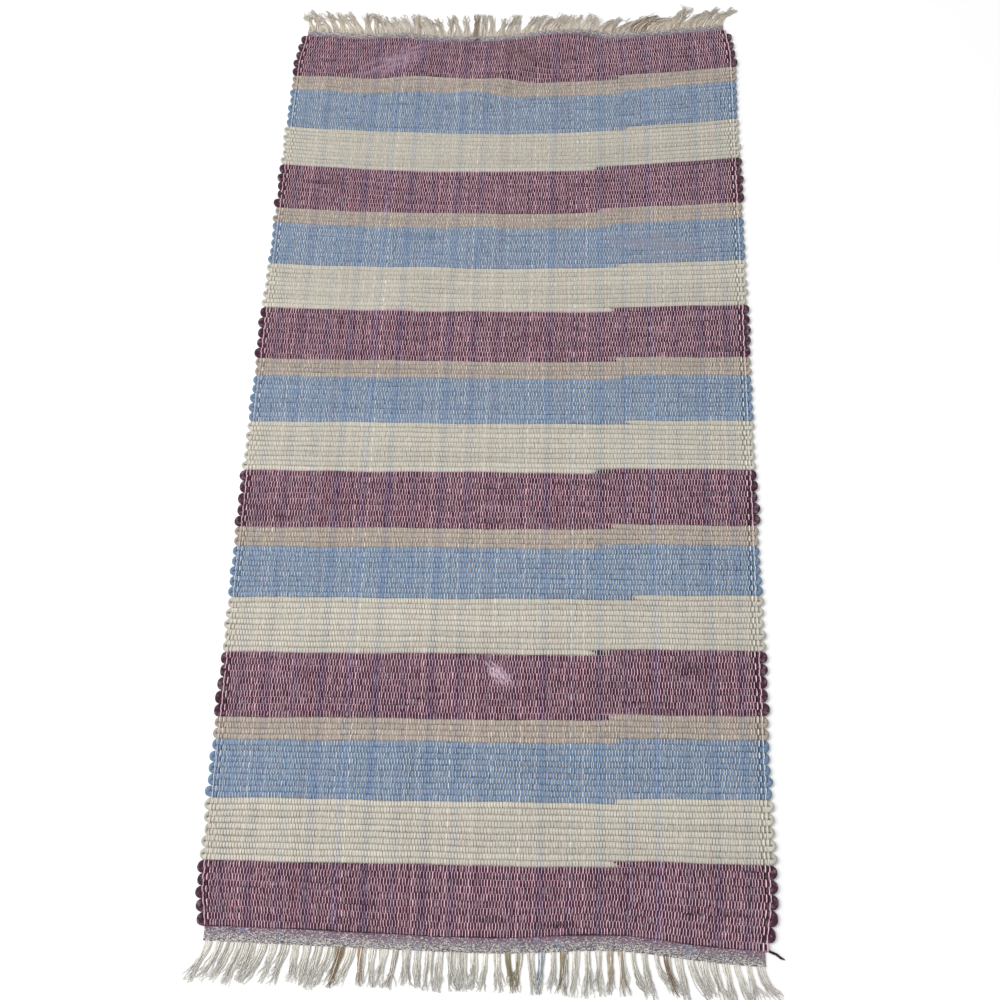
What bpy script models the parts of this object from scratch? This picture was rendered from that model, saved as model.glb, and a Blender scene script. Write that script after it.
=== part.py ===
"""Rag rug: plain-woven rag weft in 21 stripes on a fine cotton warp, laid flat.

The rug lies on its back on the plane z = 0, centred on the origin. Its length runs along Y, with the far
end at +Y, and its picks run along X. The cloth, the two fine headings, the two fringes and one loose end of
rag are separate solids, 0.3 mm apart.
"""

import math
import random

import bmesh
import bpy
from mathutils import Vector
from mathutils.geometry import delaunay_2d_cdt

# Cloth, metres
WARP_WIDTH = 0.716  # between the outermost warp ends, at its widest
CLOTH_THICKNESS = 0.0045
GAP = 0.0003  # between pieces that touch
END_STATIONS = 37  # points along each woven end
PICKS_PER_LOOP = 2  # the rag turns back once for every two picks

# One stripe a row, from the far end: colour, picks, height of one pick, how far its loops stand out
REPEAT = (
    {"colour": "burgundy", "picks": 10, "pick": 0.0083, "loop": 0.0145},
    {"colour": "tan", "picks": 4, "pick": 0.0070, "loop": 0.0105},
    {"colour": "blue", "picks": 10, "pick": 0.0071, "loop": 0.0115},
    {"colour": "cream", "picks": 10, "pick": 0.0075, "loop": 0.0115},
)
REPEATS = 5
STRIPES = REPEAT * REPEATS + REPEAT[:1]
FIELD_LENGTH = sum(stripe["picks"] * stripe["pick"] for stripe in STRIPES)

# Selvedges: where the outermost warp end lies, by side, with its bulge at mid length
SELVEDGES = {-1: {"end": 0.3530, "bulge": 0.0070}, 1: {"end": 0.3580, "bulge": 0.0}}
END_DRAW_IN = 0.0070  # how far the last picks are drawn in at each end
DRAW_IN_REACH = 0.055
LOOP_VALLEY = 0.0040  # cloth left outside the last warp end between two loops
LOOP_SHAPE = ((0.0, 0.0), (0.22, 0.80), (0.5, 1.0), (0.78, 0.80))  # share of the loop, share of its reach

# Picks that stray from straight lines: beaten looser in the near half than in the far one, skewed in the
# near part, sagging in the far one, and pushed along in a few places. Each "start" and "full" is where along
# the rug the fault begins and is whole.
MIDDLE_SHIFT = {"amount": 0.0085, "start": -0.62, "full": -0.30, "end_start": 0.50, "end_full": 0.30}
NEAR_SKEW = {"amount": 0.0070, "start": 0.15, "full": -0.45, "end_start": -0.69, "end_full": -0.60}
FAR_SAG = {"amount": 0.0200, "start": -0.10, "full": 0.65, "level": 0.42}
PUSHES = (
    {"x": -0.145, "y": 0.605, "reach_x": 0.075, "reach_y": 0.055, "push": 0.0130},
    {"x": 0.055, "y": 0.684, "reach_x": 0.060, "reach_y": 0.050, "push": 0.0060},
    {"x": 0.170, "y": -0.684, "reach_x": 0.100, "reach_y": 0.060, "push": 0.0100},
)

# Soft folds in the cloth: where each starts and ends, its height, and the widths of its two flanks
FOLDS = (
    {"x0": -0.060, "y0": 0.560, "x1": 0.125, "y1": 0.700, "height": 0.0100, "left": 0.075, "right": 0.038},
    {"x0": -0.300, "y0": 0.590, "x1": -0.170, "y1": 0.700, "height": 0.0050, "left": 0.050, "right": 0.040},
    {"x0": -0.165, "y0": 0.180, "x1": -0.030, "y1": 0.315, "height": 0.0035, "left": 0.060, "right": 0.035},
    {"x0": -0.105, "y0": -0.290, "x1": 0.050, "y1": -0.515, "height": 0.0030, "left": 0.050, "right": 0.040},
    {"x0": -0.120, "y0": -0.480, "x1": -0.112, "y1": -0.640, "height": 0.0030, "left": 0.045, "right": 0.035},
)
FOLD_END = 0.045  # length over which a fold dies away past its ends
FLAT_SPACING = 0.050  # mesh spacing where the cloth lies flat
FOLD_SPACING = 0.019  # and over a fold
SHALLOW = 0.0002  # a fold lower than this counts as flat
MESH_MARGIN = 0.012  # mesh points keep this far inside the field

# Headings
HEADING_THICKNESS = 0.0016
HEADING_ENDS = (-0.3455, 0.3510)  # left and right
HEADING_HEIGHT = {"near": 0.0175, "far": 0.0120}

# Fringes. "reaches" has rows of x and how far from the rug's middle the longest tassels there end, and
# "leans" has rows of x and degrees from straight out, + towards +X. uneven is the share by which a tassel
# may be shorter, and scatter the degrees by which it may lean otherwise.
FRINGE_THICKNESS = 0.0022
FRINGE_SPINE = 0.0022
TASSELS = 50
TASSEL_PROFILE = ((0.0, 0.0056), (0.22, 0.0026), (0.55, 0.0029), (0.86, 0.0020))  # share down, half width
TASSEL_TIP = 0.0009  # half width
ROOT_LEAN = 0.6  # a tassel leaves the heading at this share of its lean
NEAR_FRINGE = {
    "reaches": ((-0.35, 0.7525), (-0.20, 0.7505), (0.0, 0.7470), (0.35, 0.7450)),
    "leans": ((-0.35, -30), (-0.25, -18), (-0.12, -10), (0.0, 4), (0.15, 6), (0.25, 22), (0.35, 26)),
    "uneven": 0.14,
    "scatter": 5.0,
    "seed": 11,
}
FAR_FRINGE = {
    "reaches": ((-0.35, 0.7525), (-0.22, 0.748), (-0.05, 0.738), (0.15, 0.733), (0.3, 0.738), (0.35, 0.75)),
    "leans": ((-0.35, -34), (-0.25, -20), (-0.12, -6), (0.0, 24), (0.15, 38), (0.25, 50), (0.35, 42)),
    "uneven": 0.30,
    "scatter": 5.0,
    "seed": 23,
}

# Loose end of the burgundy rag
TAIL_RADIUS = 0.0015
TAIL_ROUTE = ((0.3600, -0.6855), (0.3645, -0.6870), (0.3690, -0.6905), (0.3740, -0.6925))

INSIDE_ONLY = 1  # the triangulation keeps the faces inside the outline
SAME_POINT = 1e-7

COLOURS = {
    "burgundy": (0.085, 0.035, 0.052, 1.0),
    "heading": (0.42, 0.38, 0.42, 1.0),
    "fringe": (0.66, 0.63, 0.56, 1.0),
    "weave": (0.30, 0.29, 0.30, 1.0),
}


def smooth(value):
    """Eases a share from 0 to 1, and holds it there outside."""
    value = min(max(value, 0.0), 1.0)
    return value * value * (3.0 - 2.0 * value)


def table_value(table, place):
    """Reads a table of (place, value) rows, in straight lines between the rows."""
    for (p0, v0), (p1, v1) in zip(table, table[1:]):
        if place <= p1:
            return v0 + (v1 - v0) * max(place - p0, 0.0) / (p1 - p0)
    return table[-1][1]


def grows(y, start, full):
    """Share from 0 at start to 1 at full, in either direction along the rug."""
    return smooth((y - start) / (full - start))


def stray(x, y):
    """How far a pick that was beaten in at (x, y) lies ahead of its straight line."""
    across = x / (WARP_WIDTH / 2)
    shift = MIDDLE_SHIFT["amount"] * grows(y, MIDDLE_SHIFT["start"], MIDDLE_SHIFT["full"])
    shift *= grows(y, MIDDLE_SHIFT["end_start"], MIDDLE_SHIFT["end_full"])
    skew = NEAR_SKEW["amount"] * across * grows(y, NEAR_SKEW["start"], NEAR_SKEW["full"])
    skew *= grows(y, NEAR_SKEW["end_start"], NEAR_SKEW["end_full"])
    sag = FAR_SAG["amount"] * (across**2 - FAR_SAG["level"]) * grows(y, FAR_SAG["start"], FAR_SAG["full"])
    pushed = 0.0
    for row in PUSHES:
        dx = (x - row["x"]) / row["reach_x"]
        dy = (y - row["y"]) / row["reach_y"]
        pushed += row["push"] * math.exp(-dx * dx - dy * dy)
    return shift + skew + sag + pushed


def lift(x, y):
    """Height of the cloth's underside over the floor: the highest of the folds there."""
    highest = 0.0
    for fold in FOLDS:
        run = Vector((fold["x1"] - fold["x0"], fold["y1"] - fold["y0"]))
        place = Vector((x - fold["x0"], y - fold["y0"]))
        along = place.dot(run.normalized())
        beyond = max(-along, along - run.length, 0.0)
        side = run.normalized().cross(place)
        width = fold["left"] if side > 0.0 else fold["right"]
        share = max(1.0 - abs(side) / width, 0.0) if beyond < FOLD_END else 0.0
        highest = max(highest, fold["height"] * smooth(share) * smooth(1.0 - beyond / FOLD_END))
    return highest


def turns(side):
    """Rows of far edge, height and reach: the loops of one selvedge and the picks that end without one.

    The rag turns back once for every two picks, first at one side and then at the other. So the left loops
    start with the first pick, and the right ones with the second, which leaves a lone pick at each end.
    """
    picks = [stripe for stripe in STRIPES for _ in range(stripe["picks"])]
    first = 0 if side < 0 else 1
    rows = []
    y = FIELD_LENGTH / 2
    for i, stripe in enumerate(picks):
        alone = side > 0 and i in (0, len(picks) - 1)
        if alone:
            rows.append((y, stripe["pick"], LOOP_VALLEY))
        elif (i - first) % PICKS_PER_LOOP == 0:
            second = picks[i + 1]
            rows.append((y, stripe["pick"] + second["pick"], second["loop"]))
        y -= stripe["pick"]
    return rows


def selvedge(side):
    """One selvedge from the far end to the near one: a row of rounded loops. side is -1 or 1."""
    warp = SELVEDGES[side]
    points = []
    for y, height, loop in turns(side):
        for share, reach in LOOP_SHAPE:
            here = y - share * height
            to_end = FIELD_LENGTH / 2 - abs(here)
            edge = warp["end"] + warp["bulge"] * math.cos(math.pi * here / FIELD_LENGTH)
            edge -= END_DRAW_IN * (1.0 - smooth(to_end / DRAW_IN_REACH))
            points.append((side * (edge + LOOP_VALLEY + (loop - LOOP_VALLEY) * reach), here))
    return points


def stations():
    """Places across the rug at which the woven ends are drawn, from left to right."""
    left, right = HEADING_ENDS
    return [left + (right - left) * i / (END_STATIONS - 1) for i in range(END_STATIONS)]


def woven_end(direction, inset=0.0):
    """The line at which the field ends, bowed like its last pick. inset moves it outwards."""
    y = direction * FIELD_LENGTH / 2
    return [(x, y + stray(x, y) + direction * inset) for x in stations()]


def heading_outline(direction, height):
    """Closed outline of a heading, from the field's end to the roots of the fringe."""
    return woven_end(direction, GAP) + woven_end(direction, GAP + height)[::-1]


def tassel(root, direction, length, lean):
    """Outline of one tassel, down its left side and up its right one: a profile along a bent line."""
    left, right = [], []
    for share, half_width in TASSEL_PROFILE:
        angle = math.radians(lean * (ROOT_LEAN + (1.0 - ROOT_LEAN) * share))
        down = length * share
        centre = (root[0] + down * math.sin(angle), root[1] + direction * down * math.cos(angle))
        turn = 0.0 if share == 0.0 else angle  # the mouth lies along the heading, the rest is square
        offset = (half_width * math.cos(turn), -direction * half_width * math.sin(turn))
        left.append((centre[0] - offset[0], centre[1] - offset[1]))
        right.append((centre[0] + offset[0], centre[1] + offset[1]))
    angle = math.radians(lean)
    tip = (root[0] + length * math.sin(angle), root[1] + direction * length * math.cos(angle))
    return left + [(tip[0] - TASSEL_TIP, tip[1]), (tip[0] + TASSEL_TIP, tip[1])] + right[::-1]


def fringe_outline(direction, height, fringe):
    """Closed outline of a comb of tassels: its spine along the heading, then the tassels one by one."""
    chance = random.Random(fringe["seed"])
    inner = woven_end(direction, height + 2 * GAP)
    outer = []
    left, right = HEADING_ENDS
    for i in range(TASSELS):
        x = left + (right - left) * (i + 0.5) / TASSELS
        root = (x, table_value(inner, x) + direction * FRINGE_SPINE)
        lean = table_value(fringe["leans"], x) + chance.uniform(-1, 1) * fringe["scatter"]
        out = (table_value(fringe["reaches"], x) - abs(root[1])) / math.cos(math.radians(lean))
        outer += tassel(root, direction, out * (1.0 - chance.uniform(0.0, fringe["uneven"])), lean)
    return inner + outer[::-1]


def signed_area(outline):
    """Area of a closed outline, negative where it runs clockwise."""
    pairs = zip(outline, outline[1:] + outline[:1])
    return sum(x0 * y1 - x1 * y0 for (x0, y0), (x1, y1) in pairs) / 2


def sheet(name, outline, inner_points, thickness, material, collection):
    """A closed sheet over an outline: triangulated, laid on the folds, then drawn straight up."""
    outline = outline if signed_area(outline) > 0 else outline[::-1]
    edges = [(i, (i + 1) % len(outline)) for i in range(len(outline))]
    flat = [Vector(p) for p in outline + inner_points]
    points, _, faces, *_ = delaunay_2d_cdt(flat, edges, [], INSIDE_ONLY, SAME_POINT)
    mesh = bpy.data.meshes.new(name)
    mesh.from_pydata([(p.x, p.y, lift(p.x, p.y)) for p in points], [], faces)

    solid = bmesh.new()
    solid.from_mesh(mesh)
    drawn = bmesh.ops.extrude_face_region(solid, geom=solid.faces[:], use_keep_orig=True)
    top = [part for part in drawn["geom"] if isinstance(part, bmesh.types.BMVert)]
    bmesh.ops.translate(solid, vec=(0.0, 0.0, thickness), verts=top)
    bmesh.ops.recalc_face_normals(solid, faces=solid.faces[:])
    solid.to_mesh(mesh)
    solid.free()

    mesh.materials.append(material)
    collection.objects.link(bpy.data.objects.new(name, mesh))


def body_outline():
    """Outline of the woven field: both selvedges and both ends, bowed with the picks."""
    left = [(x, y + stray(x, y)) for x, y in selvedge(-1)]
    right = [(x, y + stray(x, y)) for x, y in selvedge(1)]
    return left + woven_end(-1) + right[::-1] + woven_end(1)[::-1]


def body_points():
    """Mesh points inside the field: far apart where it lies flat, close together on the folds."""
    points = []
    width = WARP_WIDTH - 2 * MESH_MARGIN
    length = FIELD_LENGTH - 2 * MESH_MARGIN
    for spacing, on_folds in ((FLAT_SPACING, False), (FOLD_SPACING, True)):
        columns = round(width / spacing)
        rows = round(length / spacing)
        for row in range(rows + 1):
            y = length * (row / rows - 0.5)
            for column in range(columns + 1):
                x = width * (column / columns - 0.5)
                if (lift(x, y) > SHALLOW) == on_folds:
                    points.append((x, y + stray(x, y)))
    return points


def weft_tail(name, material, collection):
    """The loose end of rag at the near right corner: a short thick cord on the floor."""
    curve = bpy.data.curves.new(name, "CURVE")
    curve.dimensions = "3D"
    curve.bevel_depth = TAIL_RADIUS
    curve.bevel_resolution = 2
    curve.use_fill_caps = True
    spline = curve.splines.new("POLY")
    spline.points.add(len(TAIL_ROUTE) - 1)
    for point, (x, y) in zip(spline.points, TAIL_ROUTE):
        point.co = (x, y, TAIL_RADIUS, 1.0)
    curve.materials.append(material)
    collection.objects.link(bpy.data.objects.new(name, curve))


def cloth_material(name, colour):
    """A matt cloth colour."""
    material = bpy.data.materials.new(name)
    material.use_nodes = True
    shader = material.node_tree.nodes["Principled BSDF"]
    shader.inputs["Base Color"].default_value = colour
    shader.inputs["Roughness"].default_value = 0.9
    shader.inputs["Metallic"].default_value = 0.0
    return material


def main():
    for old in list(bpy.data.objects):
        bpy.data.objects.remove(old, do_unlink=True)
    rug = bpy.data.collections.new("rag_rug")
    bpy.context.scene.collection.children.link(rug)

    weave = cloth_material("rag weave", COLOURS["weave"])
    heading = cloth_material("heading weave", COLOURS["heading"])
    yarn = cloth_material("fringe yarn", COLOURS["fringe"])
    rag = cloth_material("burgundy rag", COLOURS["burgundy"])

    sheet("rug_body", body_outline(), body_points(), CLOTH_THICKNESS, weave, rug)
    for direction, side, fringe in ((-1, "near", NEAR_FRINGE), (1, "far", FAR_FRINGE)):
        height = HEADING_HEIGHT[side]
        sheet("heading_" + side, heading_outline(direction, height), [], HEADING_THICKNESS, heading, rug)
        outline = fringe_outline(direction, height, fringe)
        sheet("fringe_" + side, outline, [], FRINGE_THICKNESS, yarn, rug)
    weft_tail("weft_tail", rag, rug)


main()
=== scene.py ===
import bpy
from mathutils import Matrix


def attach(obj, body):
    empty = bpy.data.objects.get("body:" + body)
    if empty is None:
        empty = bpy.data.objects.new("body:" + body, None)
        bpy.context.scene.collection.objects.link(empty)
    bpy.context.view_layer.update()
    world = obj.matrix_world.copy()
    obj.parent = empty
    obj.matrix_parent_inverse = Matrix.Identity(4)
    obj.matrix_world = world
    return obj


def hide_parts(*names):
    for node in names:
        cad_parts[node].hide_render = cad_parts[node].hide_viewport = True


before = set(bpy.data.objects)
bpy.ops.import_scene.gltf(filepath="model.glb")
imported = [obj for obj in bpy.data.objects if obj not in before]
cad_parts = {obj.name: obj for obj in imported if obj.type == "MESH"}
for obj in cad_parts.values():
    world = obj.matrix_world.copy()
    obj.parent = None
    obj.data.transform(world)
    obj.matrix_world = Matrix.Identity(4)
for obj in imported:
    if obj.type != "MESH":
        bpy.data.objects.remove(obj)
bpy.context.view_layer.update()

# Striped rag rug on a pale floor. Rag weft goes back and forth under and over a fine cotton warp, with a
# fine heading and a cut fringe at each end. Weft and warp are worked out on the flat cloth first, with x
# across, y along and h up from the floor, in metres, and are then laid on the stray of the picks and on the
# folds. Headings and fringes start from the ends of the field as it lies.

import math
import random

import bpy
import numpy as np
from mathutils import Quaternion, Vector

cloth = {
    "repeat": (  # from the far end: rag, picks, height of a pick
        ("burgundy", 10, 0.0083),
        ("tan", 4, 0.0070),
        ("blue", 10, 0.0071),
        ("cream", 10, 0.0075),
    ),
    "repeats": 5,
    "warpWidth": 0.716,
    "leftWarp": 0.3530,  # from the middle of the rug to the outermost warp end
    "leftBulge": 0.0070,  # and how much farther out that is half way along
    "rightWarp": 0.3608,
    "rightBulge": 0.0,
    "drawIn": 0.0070,  # the last picks pull the edges in by this much
    "drawInReach": 0.055,
    "gap": 0.0003,  # between field, heading and fringe
    # how the picks stray: amount, where along the rug it starts, where it is whole, and then either where
    # it has ended and where it starts to end, or for the sag the x^2 at which it crosses the straight line
    "middleShift": (0.0085, -0.62, -0.30, 0.50, 0.30),
    "nearSkew": (0.0070, 0.15, -0.45, -0.69, -0.60),
    "farSag": (0.0200, -0.10, 0.65, 0.42),
    "pushes": (  # x, y, reach across, reach along, push
        (-0.145, 0.605, 0.075, 0.055, 0.0130),
        (0.055, 0.684, 0.060, 0.050, 0.0060),
        (0.170, -0.684, 0.100, 0.060, 0.0100),
    ),
    "folds": (  # from x, y to x, y, height, width of the left and the right flank
        (-0.060, 0.560, 0.125, 0.700, 0.0100, 0.075, 0.038),
        (-0.300, 0.590, -0.170, 0.700, 0.0050, 0.050, 0.040),
        (-0.165, 0.180, -0.030, 0.315, 0.0035, 0.060, 0.035),
        (-0.105, -0.290, 0.050, -0.515, 0.0030, 0.050, 0.040),
        (-0.120, -0.480, -0.112, -0.640, 0.0030, 0.045, 0.035),
    ),
    "foldEnd": 0.045,
    "waver": 0.0005,  # unevenness of every pick line
    "waves": ((1.0, 20.0, 47.0, 0.0), (0.6, 61.0, -93.0, 1.3)),  # share, rate across, rate along, start
}

stripes = cloth["repeat"] * cloth["repeats"] + cloth["repeat"][:1]
pickHeight = np.concatenate([np.full(picks, height) for _, picks, height in stripes])
pickCount = len(pickHeight)
clothLength = float(pickHeight.sum())
pickMid = clothLength / 2 - np.cumsum(pickHeight) + pickHeight / 2  # pick 0 is the farthest


# 3 s^2 - 2 s^3, with s held between 0 and 1
def ease(share):
    share = np.clip(share, 0.0, 1.0)
    return share * share * (3.0 - 2.0 * share)


# ease((y - start) / (whole - start))
def grows(y, start, whole):
    return ease((y - start) / (whole - start))


# How far a pick at (x, y) lies ahead of its straight line: a shift of the middle part, plus a skew that
# grows with x, plus a sag that grows with x^2, plus pushes of the form push * exp(-dx^2 - dy^2)
def stray(x, y):
    across = x / (cloth["warpWidth"] / 2)
    amount, start, whole, ended, ending = cloth["middleShift"]
    moved = amount * grows(y, start, whole) * grows(y, ended, ending)
    amount, start, whole, ended, ending = cloth["nearSkew"]
    moved = moved + amount * across * grows(y, start, whole) * grows(y, ended, ending)
    amount, start, whole, level = cloth["farSag"]
    moved = moved + amount * (across**2 - level) * grows(y, start, whole)
    for px, py, reachX, reachY, push in cloth["pushes"]:
        moved = moved + push * np.exp(-(((x - px) / reachX) ** 2) - ((y - py) / reachY) ** 2)
    return moved


# Height of the underside over the floor: the highest of the folds, each height * ease(1 - side / width)
# times ease(1 - beyond / foldEnd), where side is measured square to the fold and beyond is past its ends
def lift(x, y):
    highest = np.zeros(np.broadcast(x, y).shape)
    for x0, y0, x1, y1, height, left, right in cloth["folds"]:
        run = math.hypot(x1 - x0, y1 - y0)
        cos, sin = (x1 - x0) / run, (y1 - y0) / run
        along = (x - x0) * cos + (y - y0) * sin
        side = cos * (y - y0) - sin * (x - x0)
        beyond = np.maximum(np.maximum(-along, along - run), 0.0)
        flank = ease(1.0 - np.abs(side) / np.where(side > 0.0, left, right))
        highest = np.maximum(highest, height * flank * ease(1.0 - beyond / cloth["foldEnd"]))
    return highest


# waver * the sum of share * sin(across * x + along * y + start), slow waves that change from pick to pick
def waver(x, y):
    total = 0.0
    for share, across, along, start in cloth["waves"]:
        total = total + share * np.sin(across * x + along * y + start)
    return cloth["waver"] * total


# (x, y, h) on the flat cloth becomes (x, y + stray + waver, h + lift)
def layDown(points):
    x, y, h = points[..., 0], points[..., 1], points[..., 2]
    laidY = y + stray(x, y) + waver(x, y)
    return np.stack([x, laidY, h + lift(x, laidY)], axis=-1)


# x of the outermost warp end, plus or minus warp + bulge * cos(pi y / length) - drawIn * (1 - ease(share)),
# where share is the distance to the end of the field over drawInReach
def warpEdge(side, y):
    name = "left" if side < 0 else "right"
    toEnd = clothLength / 2 - np.abs(y)
    edge = cloth[name + "Warp"] + cloth[name + "Bulge"] * np.cos(np.pi * y / clothLength)
    return side * (edge - cloth["drawIn"] * (1.0 - ease(toEnd / cloth["drawInReach"])))


# Numbers that change slowly: white noise smoothed over a few neighbours, scaled to a spread of 1
def slowNoise(chance, shape, over):
    values = chance.standard_normal(shape[:-1] + (shape[-1] + 2 * over,))
    sums = np.cumsum(values, axis=-1)
    smooth = sums[..., 2 * over :] - sums[..., : -2 * over]
    return smooth / math.sqrt(2 * over)


# A profile carried along paths: point = path + side * width * across + (0, 0, 1) * height * up, where side
# is the path's own direction seen from above, turned by a quarter. path is (strands, stations, 3)
def sweep(path, width, height, profile):
    ahead = np.gradient(path[..., :2], axis=1)
    ahead /= np.maximum(np.linalg.norm(ahead, axis=-1, keepdims=True), 1e-9)
    side = np.stack([-ahead[..., 1], ahead[..., 0]], axis=-1)
    points = np.repeat(path[:, :, None, :], len(profile), axis=2)
    points[..., :2] += side[:, :, None, :] * (width[..., None] * profile[:, 0])[..., None]
    points[..., 2] += height[..., None] * profile[:, 1]
    return points


# Faces of swept strands: quads between neighbouring rings and one cap at each end, outwards for a profile
# that runs clockwise as seen along the path
def sweptFaces(strands, stations, corners):
    index = np.arange(strands * stations * corners).reshape(strands, stations, corners)
    after = np.roll(index, -1, axis=2)
    quads = np.stack([index[:, :-1], after[:, :-1], after[:, 1:], index[:, 1:]], axis=-1).reshape(-1, 4)
    caps = np.concatenate([index[:, 0, ::-1], index[:, -1, :]])
    return quads, caps


# One mesh from points and blocks of faces, smooth, with maps and colours given for each point. A colour's
# fourth number, where it has one, is read through the attribute's alpha
def makePiece(name, points, faceBlocks, maps, colours, material):
    points = points.reshape(-1, 3)
    mesh = bpy.data.meshes.new(name)
    corners = np.concatenate([block.ravel() for block in faceBlocks]).astype(np.int32)
    sizes = np.concatenate([np.full(len(block), block.shape[1]) for block in faceBlocks])
    starts = np.concatenate([[0], np.cumsum(sizes)[:-1]]).astype(np.int32)
    mesh.vertices.add(len(points))
    mesh.vertices.foreach_set("co", points.astype(np.float32).ravel())
    mesh.loops.add(len(corners))
    mesh.loops.foreach_set("vertex_index", corners)
    mesh.polygons.add(len(sizes))
    mesh.polygons.foreach_set("loop_start", starts)
    mesh.update(calc_edges=True)
    mesh.validate()
    low, high = points[:, :2].min(0), points[:, :2].max(0)
    maps = dict(maps, OFBake=(points[:, :2] - low) / (high - low) * 0.998 + 0.001)  # seen from above
    for mapName, places in maps.items():
        layer = mesh.uv_layers.new(name=mapName, do_init=False)
        layer.uv.foreach_set("vector", places.reshape(-1, 2)[corners].astype(np.float32).ravel())
    for layerName, values in colours.items():
        layer = mesh.color_attributes.new(layerName, "FLOAT_COLOR", "POINT")
        full = np.ones((len(points), 4), np.float32)
        full[:, : values.shape[-1]] = values.reshape(-1, values.shape[-1])
        layer.data.foreach_set("color", full.ravel())
    mesh.shade_smooth()
    piece = bpy.data.objects.new(name, mesh)
    bpy.context.scene.collection.objects.link(piece)
    mesh.materials.append(material)
    return piece


# Screen numbers from 0 to 255 as linear light
def dye(red, green, blue):
    screen = np.array([red, green, blue]) / 255.0
    linear = np.where(screen <= 0.04045, screen / 12.92, ((screen + 0.055) / 1.055) ** 2.4)
    return tuple(float(value) for value in linear)


def addNode(tree, kind, sockets=None, **settings):
    node = tree.nodes.new(kind)
    for name, value in settings.items():
        setattr(node, name, value)
    for name, value in (sockets or {}).items():
        if isinstance(value, bpy.types.NodeSocket):
            tree.links.new(value, node.inputs[name])
        else:
            node.inputs[name].default_value = value
    return node


def maths(tree, operation, first, second=0.0):
    return addNode(tree, "ShaderNodeMath", {0: first, 1: second}, operation=operation).outputs[0]


def between(tree, value, low, high, toLow=0.0, toHigh=1.0):
    sockets = {"Value": value, "From Min": low, "From Max": high, "To Min": toLow, "To Max": toHigh}
    node = addNode(tree, "ShaderNodeMapRange", sockets, interpolation_type="SMOOTHSTEP")
    return node.outputs["Result"]


def blendColours(tree, share, first, second, way="MIX"):
    sockets = {"Factor": share}
    node = addNode(tree, "ShaderNodeMix", sockets, data_type="RGBA", blend_type=way, clamp_factor=True)
    for index, value in ((6, first), (7, second)):
        if isinstance(value, bpy.types.NodeSocket):
            tree.links.new(value, node.inputs[index])
        else:
            node.inputs[index].default_value = (*value, 1.0)
    return node.outputs[2]


def placed(tree, vector, scale, location=(0, 0, 0), turn=0.0, way="POINT"):
    sockets = {"Vector": vector, "Scale": scale, "Location": location, "Rotation": (0, 0, turn)}
    return addNode(tree, "ShaderNodeMapping", sockets, vector_type=way).outputs[0]


def noise(tree, vector, scale, detail=2.0, roughness=0.5):
    sockets = {"Vector": vector, "Scale": scale, "Detail": detail, "Roughness": roughness}
    return addNode(tree, "ShaderNodeTexNoise", sockets).outputs["Fac"]


def newMaterial(name, roughness, sheen):
    material = bpy.data.materials.new(name)
    material.use_nodes = True
    tree = material.node_tree
    shader = tree.nodes["Principled BSDF"]
    shader.inputs["Roughness"].default_value = roughness
    shader.inputs["Specular IOR Level"].default_value = 0.15
    shader.inputs["Sheen Weight"].default_value = sheen
    shader.inputs["Sheen Roughness"].default_value = 0.6
    return material, tree, shader


# Marks of wear, with painted light and painted shadow on two far folds among them
wearAndFoldShading = (  # middle, reach, turn in degrees, streaks across the reach, colour, strength
    ((0.016, -0.362), (0.036, 0.016), -43, 5.0, dye(214, 190, 208), 0.75),
    # painted light on the lit flank of the far left fold, with a lilac fade
    ((-0.190, 0.640), (0.095, 0.028), 25, 4.0, dye(186, 160, 182), 0.50),
    # painted shadow on the dark flank of the far fold, with a brown tint
    ((0.020, 0.640), (0.085, 0.040), -35, 3.0, dye(84, 60, 56), 0.45),
    ((-0.072, 0.583), (0.030, 0.010), 5, 1.5, dye(150, 122, 96), 0.60),
    ((0.245, 0.290), (0.130, 0.040), -14, 2.0, dye(146, 140, 152), 0.55),
    ((-0.056, 0.682), (0.011, 0.007), 0, 1.0, dye(52, 36, 34), 0.90),
)
markRim = {
    "lengthwise": 2.4,  # streaks along the reach
    "ragged": 3.2,  # how deep the streaks cut into a mark
    "outer": 2.35,  # where a mark starts to show
    "inner": 1.55,  # and where it is whole
}


# Marks of wear, and painted light and painted shadow on the far folds, are seen alike on rag, warp and
# heading. Each mark is a soft ellipse broken up by noise drawn out along it, mixed over the colour where
# distance + ragged * noise is small
def wornAndFoldShading(tree, colour, place):
    for middle, reach, turn, streaks, tint, strength in wearAndFoldShading:
        local = placed(tree, place, (*reach, 1.0), (*middle, 0.0), math.radians(turn), "TEXTURE")
        far = addNode(tree, "ShaderNodeVectorMath", {0: local}, operation="LENGTH").outputs["Value"]
        drawnOut = placed(tree, local, (markRim["lengthwise"], streaks, 1.0))
        breaks = maths(tree, "MULTIPLY", noise(tree, drawnOut, 1.0, 4.0, 0.65), markRim["ragged"])
        rim = maths(tree, "ADD", far, breaks)
        share = between(tree, rim, markRim["outer"], markRim["inner"], 0.0, strength)
        colour = blendColours(tree, share, colour, tint)
    return colour


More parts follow.
